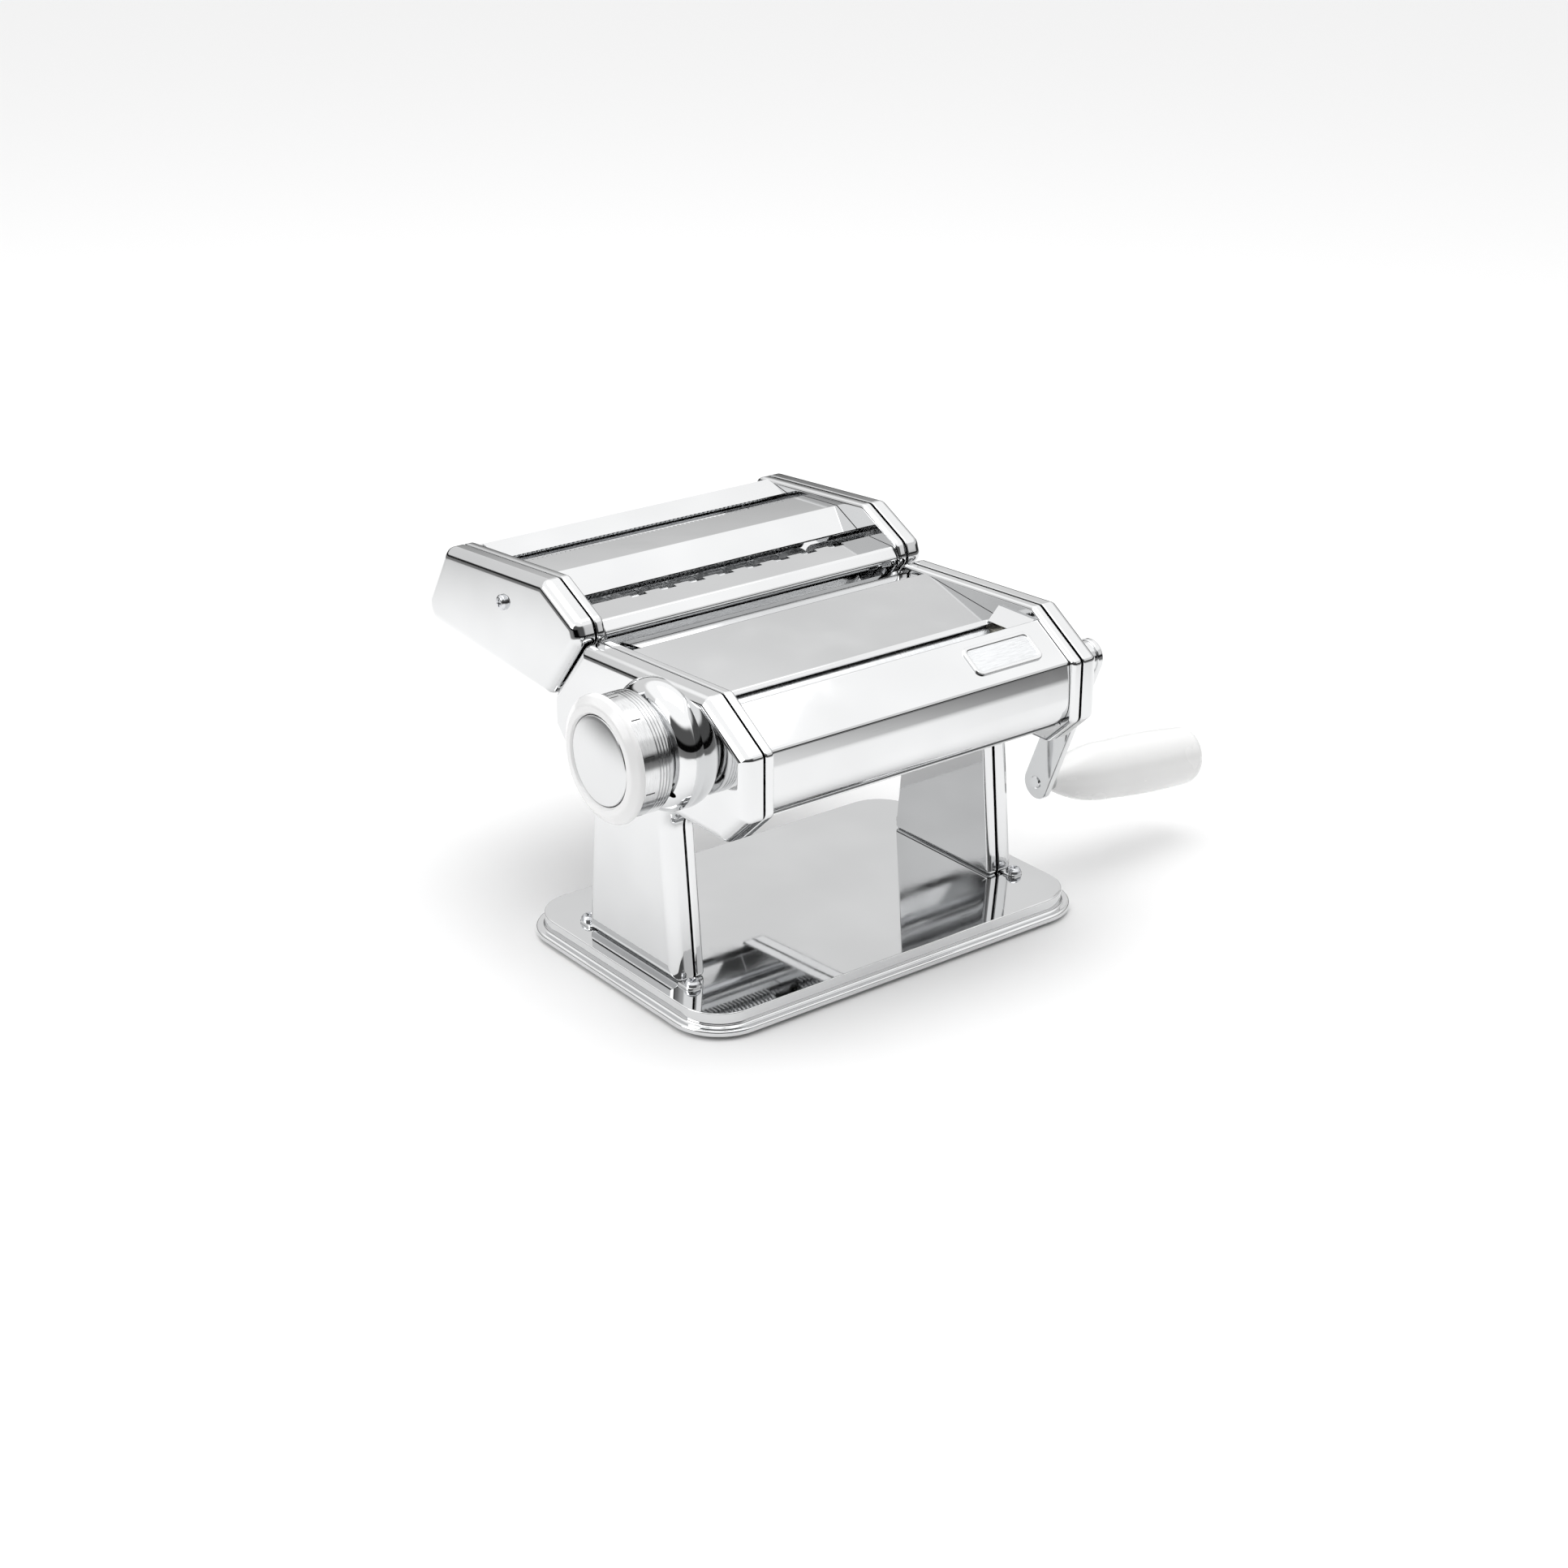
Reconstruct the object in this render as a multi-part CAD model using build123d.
"""Hand-cranked pasta roller with a clip-on two-width noodle cutter, in millimetres.

X runs along the rollers, towards the crank. Y runs from the sheet's exit side to the cutter.
Z is up. The origin is on the table, under the middle of the two legs.
"""
import math
import os

from build123d import *

# ---- base tray and feet
base_margin = 12.4
base_depth = 148.0
base_corner = 24.0
base_wall = 1.4
base_height = 9.0
lip_out = 4.0
lip_height = 2.6
shoulder_round = 3.0
foot_gap = 2.0
foot_radius = 9.0
foot_inset = 22.0
base_top = foot_gap + base_height

# ---- side walls: an inner frame and an outer cover on each side
inner_half_width = 82.0
frame_depth = 4.8
frame_wall = 1.5
cover_gap = 1.2
cover_depth = 9.6
cover_wall = 1.3
cover_bevel = 3.2
leg_top_width = 54.0
leg_foot_width = 69.0
leg_height = 79.0
panel_recess = 2.0
sheet = 1.0
play = 0.3

# ---- head profile, as distances from the legs' centre line and above the base
head_front = 84.0
head_crease_height = 121.5
head_front_low = 93.5
head_chin = 68.5
head_top_front = 56.0
head_top_height = 139.5
head_top_rear = 32.5
head_top_drop = 4.3
head_rear = 57.0
head_rear_high = 105.5
head_rear_low = 92.0
head_heel = 45.0

# ---- sheet rollers
roller_radius = 16.0
roller_length = 150.0
roller_height = 111.3
fixed_roller_y = -62.0
widest_gap = 2.5
narrowest_gap = 0.2
shaft_radius = 6.0
bush_radius = 8.5
running = 0.05
gear_teeth = 14
gear_width = 6.0
gear_clear = 4.0
block_thickness = 5.0
block_half_width = 12.0
block_half_height = 13.0

# ---- regulator
spindle_radius = 8.0
sleeve_radius = 11.6
dome_radius = 28.5
dome_height = 12.9
neck_radius = 22.0
drum_radius = 26.2
drum_length = 15.0
drum_cup_radius = 21.5
ring_radius = 27.8
ring_length = 4.6
cap_radius = 19.3
index_radius = 24.0
index_positions = 10
index_pin_radius = 1.1

# ---- crank
hex_flats = 9.0
hex_play = 0.1
socket_depth = 18.0
socket_radius = 7.5
crank_arm_length = 77.5
crank_arm_width = 16.0
crank_arm_thickness = 3.5
crank_stand_off = 12.9
crank_angle = 22.0
grip_lean = 6.5
grip_length = 92.0
grip_radius = 15.0
grip_pin_radius = 3.0
grip_bore_play = 0.08

# ---- cutter unit
cutter_profile = [
    (144.0, 150.3), (62.5, 156.3), (37.5, 143.5), (34.5, 135.5),
    (60.0, 103.5), (158.0, 110.5), (162.5, 119.5),
]
cutter_corner = [7.0, 5.0, 6.0, 6.0, 6.0, 7.0, 8.0]
cutter_radius = 9.0
cutter_groove = 3.0
cutter_mesh = 2.5
cutter_shaft_radius = 4.0
fine_slot_y = 112.5
fine_axis_height = 134.0
fine_pitch = 2.5
broad_slot_y = 62.0
broad_axis_height = 130.0
broad_pitch = 16.0
cutter_gear_teeth = 12
hanger_rod_radius = 3.0

# ---- fasteners
rod_radius = 2.5
nut_flats = 5.5
nut_height = 2.2
screw_head_radius = 3.6
screw_head_height = 2.3
screw_radius = 1.5
rod_step = 1.0

# ---- worked-out places
cover_start = inner_half_width + frame_depth + cover_gap
cover_face = cover_start + cover_depth
wide_roller_y = fixed_roller_y + 2 * roller_radius + widest_gap
gap_travel = widest_gap - narrowest_gap
regulator_y = wide_roller_y - gap_travel / 2
head_top_rear_height = head_top_height - head_top_drop
half_roller = roller_length / 2
gear_start = inner_half_width + gear_clear
crank_arm_start = cover_face + crank_stand_off
base_width = 2 * (cover_face + base_margin)
cutter_spacing = 2 * cutter_radius - cutter_mesh
side_plane = Plane(origin=(0, 0, base_top), x_dir=(0, 1, 0), z_dir=(1, 0, 0))


# ---------------------------------------------------------------- 2-D helpers
def unit(a, b):
    length = math.hypot(b[0] - a[0], b[1] - a[1])
    return (b[0] - a[0]) / length, (b[1] - a[1]) / length


def shifted_line(points, distance, closed):
    """Move every run of a polyline sideways (to its left) and mitre the corners."""
    count = len(points)
    moved = []
    for i in range(count):
        before = points[i - 1] if closed or i else None
        after = points[(i + 1) % count] if closed or i < count - 1 else None
        runs = []
        if before is not None:
            runs.append(unit(before, points[i]))
        if after is not None:
            runs.append(unit(points[i], after))
        if len(runs) == 1:
            runs.append(runs[0])
        (ax, ay), (bx, by) = runs
        scale = distance / (1 + ax * bx + ay * by)
        moved.append((points[i][0] - (ay + by) * scale, points[i][1] + (ax + bx) * scale))
    return moved


def outline(points, radii, inset=0.0):
    """A closed face whose corners are rounded; the points run anticlockwise."""
    turned = []
    count = len(points)
    for i in range(count):
        ax, ay = unit(points[i - 1], points[i])
        bx, by = unit(points[i], points[(i + 1) % count])
        convex = ax * by - ay * bx > 0
        turned.append(max(radii[i] - inset, 0.4) if convex else radii[i] + inset)
    inner = shifted_line(points, inset, closed=True) if inset else points
    return make_face(FilletPolyline(*inner, radius=turned, close=True))


def bent_strip(points, thickness, bend=1.2):
    """A sheet's section: the points are its outer face, and its thickness lies to their left."""
    inner = shifted_line(points, thickness, closed=False)
    path = points + inner[::-1]
    radii = [0.0] + [bend + thickness] * (len(points) - 2) + [0.0]
    radii += [0.0] + [bend] * (len(points) - 2) + [0.0]
    for i in range(1, len(points) - 1):
        ax, ay = unit(points[i - 1], points[i])
        bx, by = unit(points[i], points[i + 1])
        if ax * by - ay * bx < 0:
            radii[i] = bend
            radii[len(path) - 1 - i] = bend + thickness
    return make_face(FilletPolyline(*path, radius=radii, close=True))


# ---------------------------------------------------------------- 3-D helpers
def slab(face, start, end):
    """Extrude a side-view face from one X to another."""
    return extrude(side_plane.offset(start) * face, amount=end - start)


def bar(centre, radius, start, end):
    return slab(Pos(*centre) * Circle(radius), start, end)


def hexagon(centre, flats, start, end):
    return slab(Pos(*centre) * RegularPolygon(flats / 2, 6, major_radius=False), start, end)


def mirrored(shape):
    return mirror(shape, about=Plane.YZ)


def both_sides(shape):
    return Compound([shape, mirrored(shape)])


def turned(profile, centre):
    """Revolve (x, radius) points around the axis along X through a side-view point."""
    origin = (0, centre[0], base_top + centre[1])
    plane = Plane(origin=origin, x_dir=(1, 0, 0), z_dir=(0, -1, 0))
    return revolve(plane * profile, axis=Axis(origin, (1, 0, 0)))


def pan_screw(length):
    """A cross-recessed pan-head screw along Z, its head standing on Z = 0."""
    head = Cylinder(screw_head_radius, screw_head_height, align=(Align.CENTER, Align.CENTER, Align.MIN))
    head = fillet(head.edges().group_by(Axis.Z)[-1], 1.3)
    slot = Box(screw_head_radius * 1.15, 0.9, 1.2, align=(Align.CENTER, Align.CENTER, Align.MAX))
    cross = Pos(0, 0, screw_head_height) * (slot + Rot(0, 0, 90) * slot)
    shank = Cylinder(screw_radius, length, align=(Align.CENTER, Align.CENTER, Align.MAX))
    return head - cross + shank


def gear_face(teeth, module, backlash=0.3, pressure=25.0, first_tooth=0.0):
    """An involute gear outline with a tooth centred on the first_tooth angle."""
    pitch_r = teeth * module / 2
    base_r = pitch_r * math.cos(math.radians(pressure))
    tip_r = pitch_r + module
    root_r = pitch_r - 1.25 * module
    start_r = max(base_r, root_r)

    def roll(radius):
        if radius <= base_r:
            return 0.0
        angle = math.acos(base_r / radius)
        return math.tan(angle) - angle

    half_tooth = math.pi / (2 * teeth) - backlash / (2 * pitch_r) + roll(pitch_r)
    flank_r = [start_r + (tip_r - start_r) * k / 5 for k in range(6)]
    points = []
    for tooth in range(teeth):
        middle = first_tooth + 2 * math.pi * tooth / teeth
        half_gap = math.pi / teeth
        points.append((root_r, middle - half_gap))
        points.append((root_r, middle - half_tooth))
        points += [(r, middle - half_tooth + roll(r)) for r in flank_r]
        points += [(r, middle + half_tooth - roll(r)) for r in flank_r[::-1]]
        points.append((root_r, middle + half_tooth))
    return make_face(Polyline(*[(r * math.cos(a), r * math.sin(a)) for r, a in points], close=True))


# ---------------------------------------------------------------- shared outlines
head_outline = [
    (-head_top_front, head_top_height), (-head_front, head_crease_height),
    (-head_front, head_front_low), (-head_chin, leg_height),
    (-leg_top_width / 2, leg_height), (-leg_foot_width / 2, 0.0),
    (leg_foot_width / 2, 0.0), (leg_top_width / 2, leg_height),
    (head_heel, leg_height), (head_rear, head_rear_low),
    (head_rear, head_rear_high), (head_top_rear, head_top_rear_height),
]
head_corner = [3.0, 3.0, 4.0, 4.0, 9.0, 2.0, 2.0, 9.0, 4.0, 4.0, 4.0, 4.0]
regulator_centre = (regulator_y, roller_height)
fixed_centre = (fixed_roller_y, roller_height)
wide_centre = (wide_roller_y, roller_height)

# up the head's rear slope, and straight out of it
slope_up = unit((head_rear, head_rear_high), (head_top_rear, head_top_rear_height))
slope_out = (slope_up[1], -slope_up[0])
rod_depth = 7.5
slope_middle = ((head_rear + head_top_rear) / 2, (head_rear_high + head_top_rear_height) / 2)
hanger_rod = (slope_middle[0] - rod_depth * slope_out[0], slope_middle[1] - rod_depth * slope_out[1])

tie_rods = [(-head_front + 7.0, head_front_low + 4.0), (-16.0, leg_height + 5.5),
            (head_rear - 11.0, leg_height + 15.0)]
cutter_rods = [(148.0, 128.0), (88.0, 141.0), (82.0, 111.0)]
frame_bolt_spots = [(inner_half_width + 8.0, side * leg_foot_width * 0.29) for side in (-1, 1)]
foot_tab_y = leg_foot_width / 2 + 5.0
flange_top = cover_wall + 0.02 + frame_wall
foot_tab_x = cover_face - 5.0
foot_spots = [(sx * (base_width / 2 - foot_inset), sy * (base_depth / 2 - foot_inset))
              for sx in (-1, 1) for sy in (-1, 1)]
fine_axes = [(fine_slot_y + side * cutter_spacing / 2, fine_axis_height) for side in (-1, 1)]
broad_axes = [(broad_slot_y + side * cutter_spacing / 2, broad_axis_height) for side in (-1, 1)]
cover_screw_spot = (94.0, 138.0)


# ---------------------------------------------------------------- base
def base_plate():
    def tray(width, depth, corner, low, high):
        return extrude(Pos(0, 0, low) * RectangleRounded(width, depth, corner), amount=high - low)

    inner = 2 * lip_out
    body = tray(base_width - inner, base_depth - inner, base_corner - lip_out, foot_gap, base_top)
    body = fillet(body.edges().group_by(Axis.Z)[-1], shoulder_round)
    lip = tray(base_width, base_depth, base_corner, foot_gap, foot_gap + lip_height)
    lip = fillet(lip.edges().group_by(Axis.Z)[-1] + lip.edges().group_by(Axis.Z)[0], lip_height * 0.42)
    wall = inner + 2 * base_wall
    hollow = tray(base_width - wall, base_depth - wall, base_corner - lip_out - base_wall,
                  foot_gap - 1, base_top - base_wall)
    hollow = fillet(hollow.edges().group_by(Axis.Z)[-1], shoulder_round - base_wall)
    plate = body + lip - hollow
    for x, y in frame_bolt_spots:
        hole = Pos(0, y, base_top) * Cylinder(screw_radius + play / 2, 4 * base_wall)
        plate -= Pos(x, 0, 0) * hole + Pos(-x, 0, 0) * hole
    for y in (-foot_tab_y, foot_tab_y):
        hole = Pos(0, y, base_top) * Cylinder(screw_radius + play / 2, 4 * base_wall)
        plate -= Pos(foot_tab_x, 0, 0) * hole + Pos(-foot_tab_x, 0, 0) * hole
    return plate


def rubber_feet():
    height = base_top - base_wall
    foot = Cone(foot_radius, foot_radius + 1.0, height, align=(Align.CENTER, Align.CENTER, Align.MIN))
    foot = fillet(foot.edges().group_by(Axis.Z)[0], 1.0)
    return Compound([Pos(x, y, 0) * foot for x, y in foot_spots])


def base_screws():
    """Pan-head screws: four down through the covers' tabs, four up through the frames' flanges."""
    short = pan_screw(base_wall + cover_wall + 3.0)
    seat = base_top + cover_wall
    screws = [Pos(sx * foot_tab_x, y, seat) * short for sx in (-1, 1) for y in (-foot_tab_y, foot_tab_y)]
    long = pan_screw(base_wall + flange_top + nut_height + 1.0)
    flipped = Pos(0, 0, base_top - base_wall) * Rot(180, 0, 0) * long
    screws += [Pos(sx * x, y, 0) * flipped for sx in (-1, 1) for x, y in frame_bolt_spots]
    return Compound(screws)


def frame_nuts():
    """Nuts on the frames' bolts and on both ends of each rod across the head."""
    nut = extrude(RegularPolygon(nut_flats / 2, 6, major_radius=False), amount=nut_height)
    nut -= Cylinder(screw_radius + running, 4 * nut_height)
    height = base_top + flange_top + 0.02
    nuts = [Pos(sx * x, y, height) * nut for sx in (-1, 1) for x, y in frame_bolt_spots]
    start = inner_half_width + frame_wall
    for spot in tie_rods + [hanger_rod]:
        bore = rod_radius if spot in tie_rods else hanger_rod_radius
        side_nut = hexagon(spot, nut_flats, start, start + nut_height)
        side_nut -= bar(spot, bore - rod_step + running, start - 1, start + 5)
        nuts += [side_nut, mirrored(side_nut)]
    return Compound(nuts)


# ---------------------------------------------------------------- side walls
def cup(points, radii, start, depth, wall):
    """A shallow pressed tray whose floor is at start and whose rim points outwards."""
    outer = slab(outline(points, radii), start, start + depth)
    return outer - slab(outline(points, radii, wall), start + wall, start + depth + 1)


def bevelled_block(points, radii, start, end, inset, bevel):
    """A side-view outline from start to end, its last stretch drawn in by the bevel."""
    block = slab(outline(points, radii, inset), start, end - bevel)
    wide = side_plane.offset(end - bevel) * outline(points, radii, inset)
    narrow = side_plane.offset(end) * outline(points, radii, inset + bevel)
    return block + loft([wide, narrow], ruled=True)


def shell_cover(points, radii):
    """A deep pressed cover, open towards the frame, with a bevelled outer face."""
    outer = bevelled_block(points, radii, cover_start, cover_face, 0.0, cover_bevel)
    hollow = bevelled_block(points, radii, cover_start - 1, cover_face - cover_wall,
                            cover_wall, cover_bevel - cover_wall / 2)
    return outer - hollow


def side_frame():
    """The right-hand frame; both sides share every hole but the regulator's slot."""
    frame = cup(head_outline, head_corner, inner_half_width, frame_depth, frame_wall)
    near = inner_half_width - 1
    far = inner_half_width + frame_wall + 1
    frame -= bar(fixed_centre, bush_radius, near, far)
    for y in (wide_roller_y, wide_roller_y - gap_travel / 2, wide_roller_y - gap_travel):
        frame -= bar((y, roller_height), shaft_radius + 2 * play, near, far)
    for rod in tie_rods:
        frame -= bar(rod, rod_radius - rod_step + running, near, far)
    frame -= bar(hanger_rod, hanger_rod_radius - rod_step + running, near, far)
    low = cover_wall + 0.02
    flange = slab(Pos(0, low + frame_wall / 2) * Rectangle(leg_foot_width * 0.72, frame_wall),
                  inner_half_width + 0.5, cover_face - 2 * cover_wall - cover_bevel)
    notch = slab(Pos(0, 0) * Rectangle(leg_foot_width * 0.72, 2 * low),
                 inner_half_width + frame_wall, inner_half_width + frame_depth + 1)
    frame = frame - notch + flange
    for x, y in frame_bolt_spots:
        frame -= Pos(x, y, base_top + low) * Cylinder(screw_radius + play / 2, 3 * frame_wall)
    return frame


def outer_cover(right):
    """A side cover; the left one opens behind the regulator dome, the right one for the crank."""
    cover = shell_cover(head_outline, head_corner)
    if right:
        cover -= bar(fixed_centre, socket_radius + 1.6, cover_face - 2 * cover_wall, cover_face + 1)
    else:
        cover -= bar(regulator_centre, neck_radius - 2, cover_face - 2 * cover_wall, cover_face + 1)
    for y in (-foot_tab_y, foot_tab_y):
        inward = -math.copysign(4.0, y)
        tab = Pos(foot_tab_x, y + inward / 2, base_top) * Box(
            8.0, 10.0 + 4.0, cover_wall, align=(Align.CENTER, Align.CENTER, Align.MIN))
        cover += tab
        cover -= Pos(foot_tab_x, y, base_top) * Cylinder(screw_radius + play / 2, 4 * cover_wall)
    for x, y in frame_bolt_spots:
        cover -= Pos(x, y, base_top) * Cylinder(screw_radius + play / 2, 4 * cover_wall)
    return cover if right else mirrored(cover)


def crank_bush():
    start = cover_face - 2.4
    bush = bar(fixed_centre, socket_radius + 1.5, start, cover_face)
    bush += bar(fixed_centre, socket_radius + 3.4, cover_face, cover_face + 1.6)
    return bush - bar(fixed_centre, socket_radius + running, start - 1, cover_face + 3)


# ---------------------------------------------------------------- head sheets
half_panel = inner_half_width - play
hook_clear = 4.5
front_crease = (-head_front + panel_recess, head_crease_height - 1.1)
front_slope = unit((-head_front, head_crease_height), (-head_top_front, head_top_height))
front_slope_length = 26.0
front_top = (front_crease[0] + front_slope_length * front_slope[0],
             front_crease[1] + front_slope_length * front_slope[1])
hopper_top = (16.0, 135.2)
hopper_low = (-34.5, roller_height + roller_radius + 1.4)


def front_panel():
    low = (front_crease[0], head_front_low + 1.0)
    toe = (front_crease[0] + 5.5, head_front_low - 2.5)
    sheet_body = slab(bent_strip([front_top, front_crease, low, toe], sheet, 0.6), -half_panel, half_panel)
    hem = bar((front_top[0] + 0.3, front_top[1] - 0.9), 1.0, -half_panel, half_panel)
    return sheet_body + hem


def badge_plate():
    middle = (front_crease[0] + 0.56 * front_slope_length * front_slope[0],
              front_crease[1] + 0.56 * front_slope_length * front_slope[1])
    normal = (0, -front_slope[1], front_slope[0])
    plane = Plane(origin=(52.5, middle[0], base_top + middle[1]), x_dir=(1, 0, 0), z_dir=normal)
    plate = extrude(plane * RectangleRounded(38.0, 15.5, 3.6), amount=1.1)
    return fillet(plate.faces().sort_by(plane_distance(plane))[-1].edges(), 0.6)


def plane_distance(plane):
    return lambda face: (face.center() - plane.origin).dot(plane.z_dir)


def rear_panel():
    half = inner_half_width - hook_clear
    top = (hopper_top[0] + play, hopper_top[1])
    corner = (head_top_rear - 0.8 * panel_recess, head_top_rear_height - 0.9 * panel_recess)
    knee = (head_rear - panel_recess, head_rear_high - 0.6 * panel_recess)
    low = (knee[0], head_rear_low + 1.0)
    points = [top, corner, knee, low, (low[0] - 5.5, low[1] - 3.5)]
    return slab(bent_strip(points[::-1], sheet, 0.8), -half, half)


def hopper_slope():
    nose = (hopper_low[0] - 1.6, hopper_low[1] - 1.3)
    return slab(bent_strip([hopper_top, hopper_low, nose], sheet, 0.5), -half_panel, half_panel)


def end_guides():
    """Sloping ends of the hopper, above the roller ends."""
    front = front_top[0] + 1.5
    back = hopper_low[0] - 0.8
    top = (inner_half_width - play, base_top + front_top[1] - 0.6)
    low = (half_roller + 0.6, base_top + roller_height + roller_radius + 0.6)
    section = bent_strip([low, top], sheet)
    plane = Plane(origin=(0, back, 0), x_dir=(1, 0, 0), z_dir=(0, -1, 0))
    return both_sides(extrude(plane * section, amount=back - front))


def tie_rod_set():
    return Compound([stepped_rod(rod, rod_radius) for rod in tie_rods])


def stepped_rod(spot, radius):
    """A rod between the side walls whose thinner ends reach through them and their nuts."""
    reach = inner_half_width + frame_wall + nut_height + 0.1
    return (bar(spot, radius, -inner_half_width, inner_half_width)
            + bar(spot, radius - rod_step, -reach, reach))


def scraper(rod, centre, lean):
    """A spring-steel blade clipped round a tie rod, its edge just clear of the roller."""
    angle = math.radians(lean)
    clear = roller_radius + 0.5
    tip = (centre[0] + clear * math.sin(angle), centre[1] - clear * math.cos(angle))
    toward = unit(rod, tip)
    heel = (rod[0] + (rod_radius + 0.9) * toward[0], rod[1] + (rod_radius + 0.9) * toward[1])
    blade = slab(bent_strip([heel, tip], 0.8), -half_roller, half_roller)
    clip = bar(rod, rod_radius + 1.3, -half_roller, half_roller)
    return blade + clip - bar(rod, rod_radius + running, -half_roller - 1, half_roller + 1)


# ---------------------------------------------------------------- sheet rollers
def hex_socket(centre, end):
    return hexagon(centre, hex_flats + hex_play, end - socket_depth, end + 1)


def fixed_roller():
    end = crank_arm_start - 7.5
    roller = bar(fixed_centre, roller_radius, -half_roller, half_roller)
    roller = chamfer(roller.edges(), 0.4)
    roller += bar(fixed_centre, shaft_radius, -inner_half_width - 8, gear_start + gear_width + 1)
    roller += bar(fixed_centre, socket_radius, gear_start + gear_width + 0.4, end)
    return roller - hex_socket(fixed_centre, end)


def adjustable_roller():
    roller = bar(wide_centre, roller_radius, -half_roller, half_roller)
    roller = chamfer(roller.edges(), 0.4)
    return roller + bar(wide_centre, shaft_radius, -inner_half_width - 10, gear_start + gear_width + 1.5)


def roller_gear(centre, first_tooth):
    module = (2 * roller_radius + narrowest_gap) / gear_teeth
    face = gear_face(gear_teeth, module, first_tooth=first_tooth) - Circle(shaft_radius)
    return slab(Pos(*centre) * face, gear_start, gear_start + gear_width)


def roller_bushes():
    start = inner_half_width - 0.8
    bush = bar(fixed_centre, bush_radius, start, start + 3.6)
    return both_sides(bush - bar(fixed_centre, shaft_radius + running, start - 1, start + 5))


def carriage_block(right):
    start = inner_half_width - 0.4 - block_thickness
    body = slab(Pos(*wide_centre) * RectangleRounded(2 * block_half_width, 2 * block_half_height, 2.0),
                start, start + block_thickness)
    body -= bar(wide_centre, shaft_radius + running, start - 1, start + block_thickness + 1)
    return body if right else mirrored(body)


# ---------------------------------------------------------------- regulator
def knob_profile(points):
    return make_face(Polyline(*points, close=True))


dome_end = cover_face + dome_height
index_spot = (regulator_centre[0], regulator_centre[1] + index_radius)
drum_back = dome_end + 0.8
drum_front = drum_back + drum_length
spring_seat = drum_back + 3.2
washer_start = drum_front - 2.6


def regulator_dome():
    swell = (dome_radius + neck_radius) / 2 + 1.6
    middle = cover_face + dome_height * 0.62
    edge = ThreePointArc((-cover_face, dome_radius), (-middle, swell), (-dome_end + 1.6, neck_radius))
    rest = Polyline((-dome_end + 1.6, neck_radius), (-dome_end, neck_radius), (-dome_end, 0),
                    (-cover_face, 0), (-cover_face, dome_radius))
    dome = turned(make_face(Wire([edge] + rest.edges())), regulator_centre)
    dome -= bar(regulator_centre, neck_radius - 4, -cover_face - 8, -cover_face + 1)
    dome -= bar(regulator_centre, spindle_radius + running, -dome_end - 1, -cover_face)
    dome -= bar(index_spot, index_pin_radius, -drum_back, -cover_face)
    hole = (regulator_centre[0] - 19.5, regulator_centre[1] - 14.0)
    return dome - bar(hole, 1.6, -dome_end, -cover_face - 3.0)


def index_pin():
    return bar(index_spot, index_pin_radius, -drum_back + 0.4, -cover_face - 1.0)


def regulator_spindle():
    sleeve_bore = shaft_radius + gap_travel / 2 + 0.45
    start = -inner_half_width - frame_wall - 1.0
    floor = start - 9.8
    sleeve = bar(regulator_centre, sleeve_radius, floor, start)
    sleeve -= bar(regulator_centre, sleeve_bore, floor + 1.4, start + 1)
    return sleeve + bar(regulator_centre, spindle_radius, -washer_start, floor)


def spindle_washer():
    return bar(regulator_centre, 13.2, -washer_start - 1.2, -washer_start)


def spindle_screw():
    start = washer_start + 1.2
    head = bar(regulator_centre, 4.2, -start - 1.6, -start)
    return fillet(head.edges().sort_by(Axis.X)[0], 0.7)


def regulator_spring():
    pitch = 2.35
    length = washer_start - spring_seat - 1.3
    path = Helix(pitch, length, 10.6, center=(0, 0, 0), direction=(0, 0, 1))
    wire = Plane(origin=path @ 0, z_dir=path % 0) * Circle(0.55)
    coil = sweep(wire, path=path, is_frenet=True)
    place = Location((-spring_seat - 0.65, regulator_y, base_top + roller_height), (0, -90, 0))
    return place * coil


def knob_drum():
    groove = 0.5
    ribs = [(drum_back + 2.2 + k * 1.4, drum_radius - groove * (k % 2)) for k in range(5)]
    points = [(drum_back, 0), (drum_back, drum_radius - 0.8), (drum_back + 0.8, drum_radius)]
    for start, radius in ribs:
        points += [(start, radius), (start + 1.4, radius)]
    points += [(drum_front, drum_radius), (drum_front, 0)]
    drum = turned(knob_profile([(-x, r) for x, r in points]), regulator_centre)
    drum -= bar(regulator_centre, drum_cup_radius, -drum_front - 1, -spring_seat)
    drum -= bar(regulator_centre, spindle_radius + running, -drum_front, -drum_back + 1)
    for k in range(index_positions):
        angle = math.radians(90 + 360 * k / index_positions)
        spot = (regulator_centre[0] + index_radius * math.cos(angle),
                regulator_centre[1] + index_radius * math.sin(angle))
        drum -= bar(spot, 1.35, -drum_back - 2.4, -drum_back + 1)
    return drum


def knob_ring():
    end = drum_front + ring_length
    points = [(drum_front - 2.4, cap_radius + 0.3), (drum_front - 2.4, drum_cup_radius - 0.05),
              (drum_front, drum_cup_radius - 0.05), (drum_front, ring_radius), (end - 1.2, ring_radius),
              (end, ring_radius - 1.4), (end, cap_radius + 0.8), (end - 0.6, cap_radius + 0.3)]
    return turned(knob_profile([(-x, r) for x, r in points]), regulator_centre)


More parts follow.
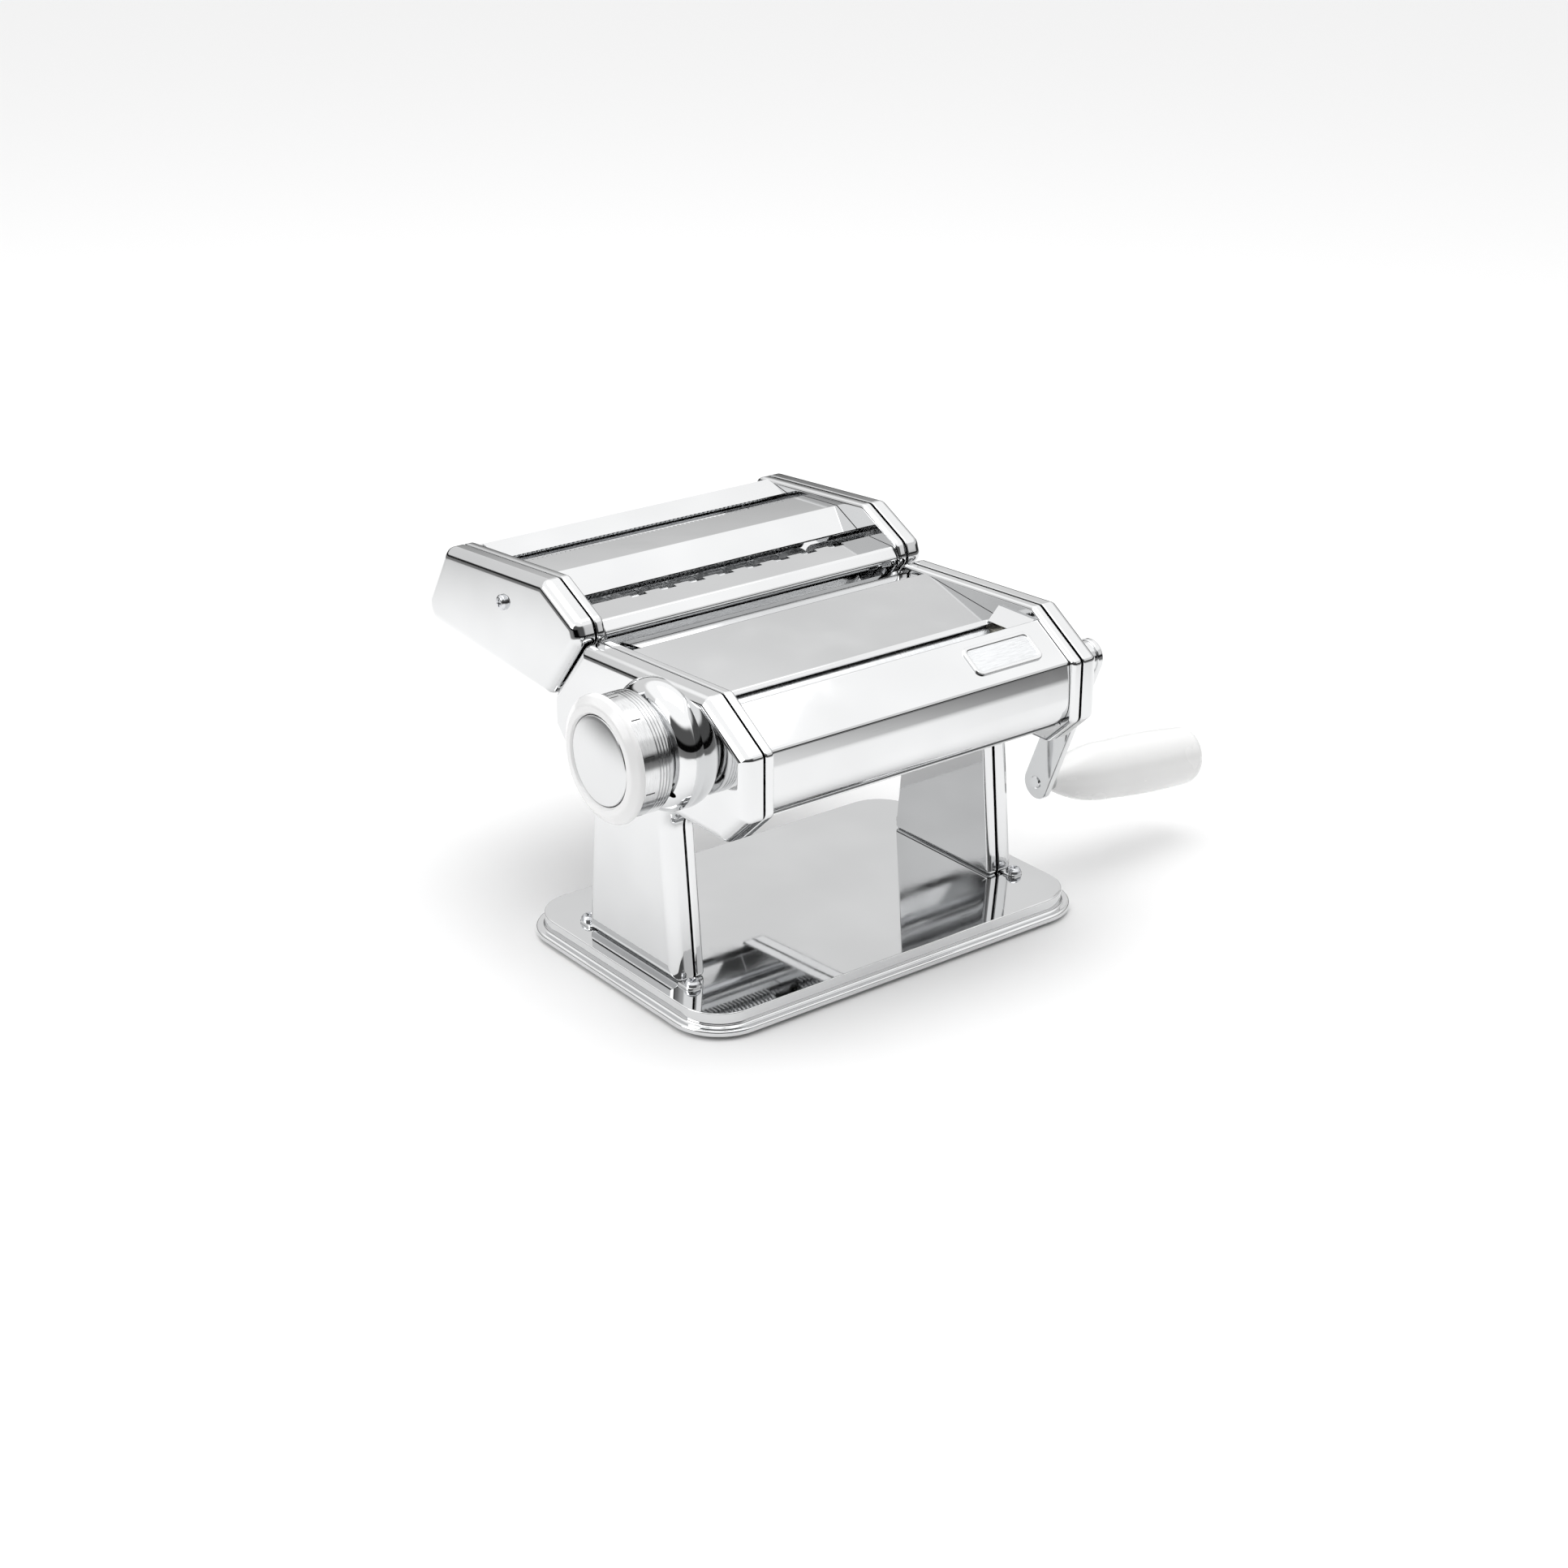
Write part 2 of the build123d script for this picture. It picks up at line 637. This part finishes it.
def knob_cap():
    """A shallow convex disc set in the ring; it stands a little proud in the middle."""
    back = drum_front + 1.0
    rim = drum_front + ring_length - 1.0
    rise = 2.0
    ball = (cap_radius ** 2 + rise ** 2) / (2 * rise)
    half = math.asin(cap_radius / ball) / 2
    middle = (-rim - rise + ball * (1 - math.cos(half)), ball * math.sin(half))
    crown = ThreePointArc((-rim, cap_radius), middle, (-rim - rise, 0))
    rest = Polyline((-rim - rise, 0), (-back, 0), (-back, cap_radius), (-rim, cap_radius))
    return turned(make_face(Wire([crown] + rest.edges())), regulator_centre)


# ---------------------------------------------------------------- crank
crank_turn = math.radians(crank_angle)
grip_centre = (fixed_roller_y + crank_arm_length * math.sin(crank_turn),
               roller_height - crank_arm_length * math.cos(crank_turn))
arm_end = crank_arm_start + crank_arm_thickness
grip_plane = Plane(origin=(arm_end, grip_centre[0], base_top + grip_centre[1]),
                   x_dir=(0, 1, 0),
                   z_dir=(math.cos(math.radians(grip_lean)), 0, -math.sin(math.radians(grip_lean))))
ferrule_length = 5.0
grip_start = ferrule_length + 0.5


def crank_shaft():
    end = crank_arm_start - 7.5
    shaft = hexagon(fixed_centre, hex_flats, end - socket_depth + 0.6, end)
    shaft += bar(fixed_centre, socket_radius, end + 0.3, crank_arm_start)
    shaft += hexagon(fixed_centre, hex_flats, end, end + 0.3)
    return shaft + bar(fixed_centre, 4.0, crank_arm_start, arm_end + 0.8)


def crank_arm():
    middle = ((fixed_centre[0] + grip_centre[0]) / 2, (fixed_centre[1] + grip_centre[1]) / 2)
    strip = SlotCenterToCenter(crank_arm_length, crank_arm_width)
    arm = slab(Pos(*middle) * Rot(0, 0, -90 + crank_angle) * strip, crank_arm_start, arm_end)
    arm = fillet(arm.faces().sort_by(Axis.X)[-1].edges() + arm.faces().sort_by(Axis.X)[0].edges(), 0.8)
    arm -= bar(fixed_centre, 4.0, crank_arm_start - 1, arm_end + 1)
    return arm - extrude(grip_plane.offset(-8) * Circle(grip_pin_radius), amount=16)


def crank_grip_pin():
    pin = extrude(grip_plane.offset(-crank_arm_thickness - 1.2) * Circle(grip_pin_radius),
                  amount=crank_arm_thickness + 1.2 + grip_start + grip_length - 12)
    collar = extrude(grip_plane.offset(0.6) * Circle(4.6), amount=ferrule_length - 0.6)
    collar = fillet(collar.edges().sort_by(plane_distance(grip_plane))[-1], 0.8)
    return pin + collar


def crank_grip():
    """A white bullet: narrow at the arm, full in the middle and softly domed at its end."""
    nose = 5.0
    length = grip_length
    crown = 9.0
    waist = (grip_radius - 0.8, length * 0.40)
    heel = (grip_radius - 0.7, length * 0.93)
    edges = [Line((0, 0), (nose, 0)),
             ThreePointArc((nose, 0), (grip_radius * 0.74, length * 0.155), waist),
             ThreePointArc(waist, (grip_radius, length * 0.66), heel),
             ThreePointArc(heel, (grip_radius - 2.4, length - 1.9), (crown, length - 0.5)),
             Polyline((crown, length - 0.5), (0, length - 0.5), (0, 0))]
    plane = Plane(origin=(grip_plane.offset(grip_start)).origin, x_dir=grip_plane.x_dir,
                  z_dir=grip_plane.x_dir.cross(grip_plane.z_dir))
    face = make_face(Wire([edge for part in edges for edge in part.edges()]))
    body = revolve(plane * face, axis=Axis(plane.origin, grip_plane.z_dir))
    bore = extrude(grip_plane.offset(grip_start - 1) * Circle(grip_pin_radius + grip_bore_play),
                   amount=length - 10.5)
    return body - bore


# ---------------------------------------------------------------- cutter unit
def cutter_plate(right):
    plate = cup(cutter_profile, cutter_corner, inner_half_width, frame_depth, frame_wall)
    near = inner_half_width - 1
    far = inner_half_width + frame_wall + 1
    for axis in fine_axes + broad_axes:
        plate -= bar(axis, cutter_shaft_radius + running, near, far)
    for rod in cutter_rods:
        plate -= bar(rod, hanger_rod_radius - rod_step + running, near, far)
    plate -= bar(cover_screw_spot, screw_radius + running, near, far)
    return plate if right else mirrored(plate)


def cutter_cover(right):
    cover = shell_cover(cutter_profile, cutter_corner)
    cover -= bar(cover_screw_spot, screw_radius + play, cover_start, cover_face + 1)
    if right:
        for axis in (fine_axes[0], broad_axes[0]):
            cover -= bar(axis, socket_radius - 0.4, cover_start, cover_face + 1)
    return cover if right else mirrored(cover)


def cutter_cover_screws():
    screw = Rot(0, 90, 0) * pan_screw(cover_face - inner_half_width + 0.6)
    placed = Pos(cover_face, cover_screw_spot[0], base_top + cover_screw_spot[1]) * screw
    return both_sides(placed)


def cutter_tie_rods():
    return Compound([stepped_rod(rod, hanger_rod_radius) for rod in cutter_rods])


def cutter_rod_nuts():
    start = inner_half_width + frame_wall
    nuts = []
    for spot in cutter_rods:
        nut = hexagon(spot, nut_flats - 1, start, start + nut_height)
        nut -= bar(spot, hanger_rod_radius - rod_step, start - 1, start + 5)
        nuts += [nut, mirrored(nut)]
    return Compound(nuts)


fine_slot_half = 5.2
broad_slot_half = 4.8
ridge = (81.6, 151.2)
fine_rear_edge = (fine_slot_y + fine_slot_half + 2.8, 147.8)
fine_front_edge = (fine_slot_y - fine_slot_half, 149.6)
broad_rear_edge = (broad_slot_y + broad_slot_half - 0.4, 143.6)
broad_front_edge = (broad_slot_y - broad_slot_half, 142.4)
cutter_brow = (39.8, 141.7)


def notches(edge_y, pitch, depth, height):
    """Cutting blocks for a comb edge: one gap above each ring of the roller below."""
    count = int(2 * half_roller / pitch)
    cuts = []
    for k in range(count + 1):
        x = -half_roller + pitch / 2 + k * pitch
        if abs(x) < half_roller - pitch / 2:
            cuts.append(Pos(x, edge_y, base_top + height) * Box(pitch / 2, 2 * depth, 6 * sheet))
    return cuts


def fine_rear_guide():
    top = (cutter_profile[0][0] - 8.5, cutter_profile[0][1] + 0.7)
    return slab(bent_strip([top, fine_rear_edge], sheet), -half_panel, half_panel)


def ridge_guide():
    body = slab(bent_strip([fine_front_edge, ridge, broad_rear_edge], sheet, 0.5), -half_panel, half_panel)
    return body - notches(fine_front_edge[0], fine_pitch, 1.4, fine_front_edge[1])


def cutter_front_panel():
    nose = (36.4, 137.0)
    neck = (37.0, 133.9)
    low = (59.3, 106.4)
    toe = (62.5, 105.6)
    points = [broad_front_edge, cutter_brow, nose, neck, low, toe]
    body = slab(bent_strip(points, sheet, 0.9), -half_panel, half_panel)
    body -= notches(broad_front_edge[0], broad_pitch, 2.6, broad_front_edge[1])
    window = Pos((slope_middle[0] + 2.0), slope_middle[1] + 1.0) * Rot(0, 0, 45) * Rectangle(24.0, 24.0)
    slot = slab(window, inner_half_width - hook_clear + 0.4, inner_half_width + 0.1)
    return body - slot - mirrored(slot)


def cutter_back_panel():
    top = (cutter_profile[0][0] - 8.0, cutter_profile[0][1] - 0.5)
    corner = (cutter_profile[0][0] - 1.2, cutter_profile[0][1] - 2.0)
    knee = (cutter_profile[6][0] - 2.2, cutter_profile[6][1] + 0.2)
    low = (cutter_profile[5][0] - 1.6, cutter_profile[5][1] + 2.0)
    points = [low, knee, corner, top]
    return slab(bent_strip(points, sheet, 1.2), -half_panel, half_panel)


def ring_positions(pitch, phase):
    """Centres of the rings along one cutting roller, symmetric about the middle."""
    count = int((2 * half_roller - 2) / pitch)
    return [(-count / 2 + k + (0.5 if phase else 0.0)) * pitch for k in range(count + (0 if phase else 1))]


def cutting_roller(axis, pitch, phase, with_socket):
    """A shaft with square-edged rings; its partner's rings run in its grooves."""
    core = cutter_radius - cutter_groove
    half_ring = pitch / 4 - 0.06 * min(pitch / 2, 2)
    points = [(-half_roller, 0), (-half_roller, core)]
    for x in ring_positions(pitch, phase):
        low = max(x - half_ring, -half_roller + 0.2)
        high = min(x + half_ring, half_roller - 0.2)
        points += [(low, core), (low, cutter_radius), (high, cutter_radius), (high, core)]
    points += [(half_roller, core), (half_roller, 0)]
    roller = turned(knob_profile(points), axis)
    roller += bar(axis, cutter_shaft_radius, -inner_half_width - 3.5, inner_half_width + 3.2)
    if with_socket:
        end = cover_face - 0.8
        roller += bar(axis, cutter_shaft_radius, inner_half_width, gear_start + gear_width - 2)
        roller += bar(axis, socket_radius - 0.8, gear_start + gear_width - 4.0, end)
        roller -= hexagon(axis, hex_flats + hex_play, end - 7.0, end + 1)
    return roller


def cutter_gear(axis, first_tooth):
    module = cutter_spacing / cutter_gear_teeth
    face = gear_face(cutter_gear_teeth, module, backlash=0.25, first_tooth=first_tooth)
    start = inner_half_width + frame_wall + 0.4
    return slab(Pos(*axis) * (face - Circle(cutter_shaft_radius)), start, start + 3.6)


def combs(axes, pitch, bar_offset, bar_width, half):
    """Stripping combs under a pair of cutters: a bar with one finger in each groove."""
    height = 1.2
    pair = []
    for side, axis, phase in ((-1, axes[0], False), (1, axes[1], True)):
        bar_y = axis[0] + side * bar_offset
        bar_z = axis[1] - cutter_radius - 1.6
        tip_y = axis[0] - side
        level = axis[1] - cutter_radius + 0.7
        back_y = bar_y + side * bar_width / 2
        comb = Pos(0, bar_y, base_top + bar_z) * Box(2 * half, bar_width, height)
        rings = ring_positions(pitch, phase)
        fingers = []
        for a, b in zip(rings[:-1], rings[1:]):
            finger = Box(min(pitch / 2 - 0.5, 5.0), abs(back_y - tip_y), level - bar_z + height / 2)
            place = ((a + b) / 2, (back_y + tip_y) / 2, base_top + (level + bar_z - height / 2) / 2)
            fingers.append(Pos(*place) * finger)
        pair.append(comb.fuse(*fingers))
    return Compound(pair)


def attachment_hooks():
    """Plates on the cutter that drop over the head's hanger rod."""
    def spot(up, out):
        return (hanger_rod[0] + up * slope_up[0] + out * slope_out[0],
                hanger_rod[1] + up * slope_up[1] + out * slope_out[1])

    slot_half = hanger_rod_radius + 0.15
    corners = [spot(-8, -4.8), spot(-8, 15.4), spot(8, 15.4), spot(8, -4.8)]
    plate = outline(corners, [1.0, 1.0, 1.0, 3.0])
    gap = make_face(Polyline(spot(0, -slot_half), spot(-12, -slot_half), spot(-12, slot_half),
                             spot(0, slot_half), close=True)) + Pos(*hanger_rod) * Circle(slot_half)
    hook = slab(plate - gap, inner_half_width - 3.6, inner_half_width - 0.6)
    pad_spot = spot(0, 12.9)
    hook += bar(pad_spot, 2.1, inner_half_width - 1.0, inner_half_width)
    return both_sides(hook)


# ---------------------------------------------------------------- all the pieces
def build():
    half_tooth = math.pi / gear_teeth
    half_cutter_tooth = math.pi / cutter_gear_teeth
    frame = side_frame()
    nodes = {
        "base_plate": base_plate(),
        "rubber_feet": rubber_feet(),
        "base_screws": base_screws(),
        "frame_nuts": frame_nuts(),
        "right_side_frame": frame,
        "left_side_frame": mirrored(frame),
        "right_outer_cover": outer_cover(right=True),
        "left_outer_cover": outer_cover(right=False),
        "crank_bush": crank_bush(),
        "front_panel": front_panel(),
        "badge_plate": badge_plate(),
        "rear_panel": rear_panel(),
        "hopper_slope": hopper_slope(),
        "end_guides": end_guides(),
        "tie_rods": tie_rod_set(),
        "hanger_rod": stepped_rod(hanger_rod, hanger_rod_radius),
        "front_scraper": scraper(tie_rods[0], fixed_centre, -52.0),
        "rear_scraper": scraper(tie_rods[1], wide_centre, 20.0),
        "fixed_roller": fixed_roller(),
        "adjustable_roller": adjustable_roller(),
        "fixed_roller_gear": roller_gear(fixed_centre, 0.0),
        "adjustable_roller_gear": roller_gear(wide_centre, math.pi + half_tooth),
        "roller_bushes": roller_bushes(),
        "right_carriage_block": carriage_block(right=True),
        "left_carriage_block": carriage_block(right=False),
        "regulator_dome": regulator_dome(),
        "index_pin": index_pin(),
        "regulator_spindle": regulator_spindle(),
        "spindle_washer": spindle_washer(),
        "spindle_screw": spindle_screw(),
        "regulator_spring": regulator_spring(),
        "knob_drum": knob_drum(),
        "knob_ring": knob_ring(),
        "knob_cap": knob_cap(),
        "crank_shaft": crank_shaft(),
        "crank_arm": crank_arm(),
        "crank_grip_pin": crank_grip_pin(),
        "crank_grip": crank_grip(),
        "cutter_right_plate": cutter_plate(right=True),
        "cutter_left_plate": cutter_plate(right=False),
        "cutter_right_cover": cutter_cover(right=True),
        "cutter_left_cover": cutter_cover(right=False),
        "cutter_cover_screws": cutter_cover_screws(),
        "cutter_tie_rods": cutter_tie_rods(),
        "cutter_rod_nuts": cutter_rod_nuts(),
        "fine_rear_guide": fine_rear_guide(),
        "ridge_guide": ridge_guide(),
        "cutter_front_panel": cutter_front_panel(),
        "cutter_back_panel": cutter_back_panel(),
        "attachment_hooks": attachment_hooks(),
        "fine_combs": combs(fine_axes, fine_pitch, 7.0, 5.0, half_panel),
        "broad_combs": combs(broad_axes, broad_pitch, 0.5, 3.0, half_panel - hook_clear + 0.5),
    }
    for name, axes, pitch in (("fine", fine_axes, fine_pitch), ("broad", broad_axes, broad_pitch)):
        nodes[name + "_front_cutter"] = cutting_roller(axes[0], pitch, False, True)
        nodes[name + "_rear_cutter"] = cutting_roller(axes[1], pitch, True, False)
        nodes[name + "_front_gear"] = cutter_gear(axes[0], 0.0)
        nodes[name + "_rear_gear"] = cutter_gear(axes[1], math.pi + half_cutter_tooth)
    return nodes


if __name__ == "__main__":
    os.makedirs("parts", exist_ok=True)
    for node, shape in build().items():
        export_step(shape, f"parts/{node}.step")
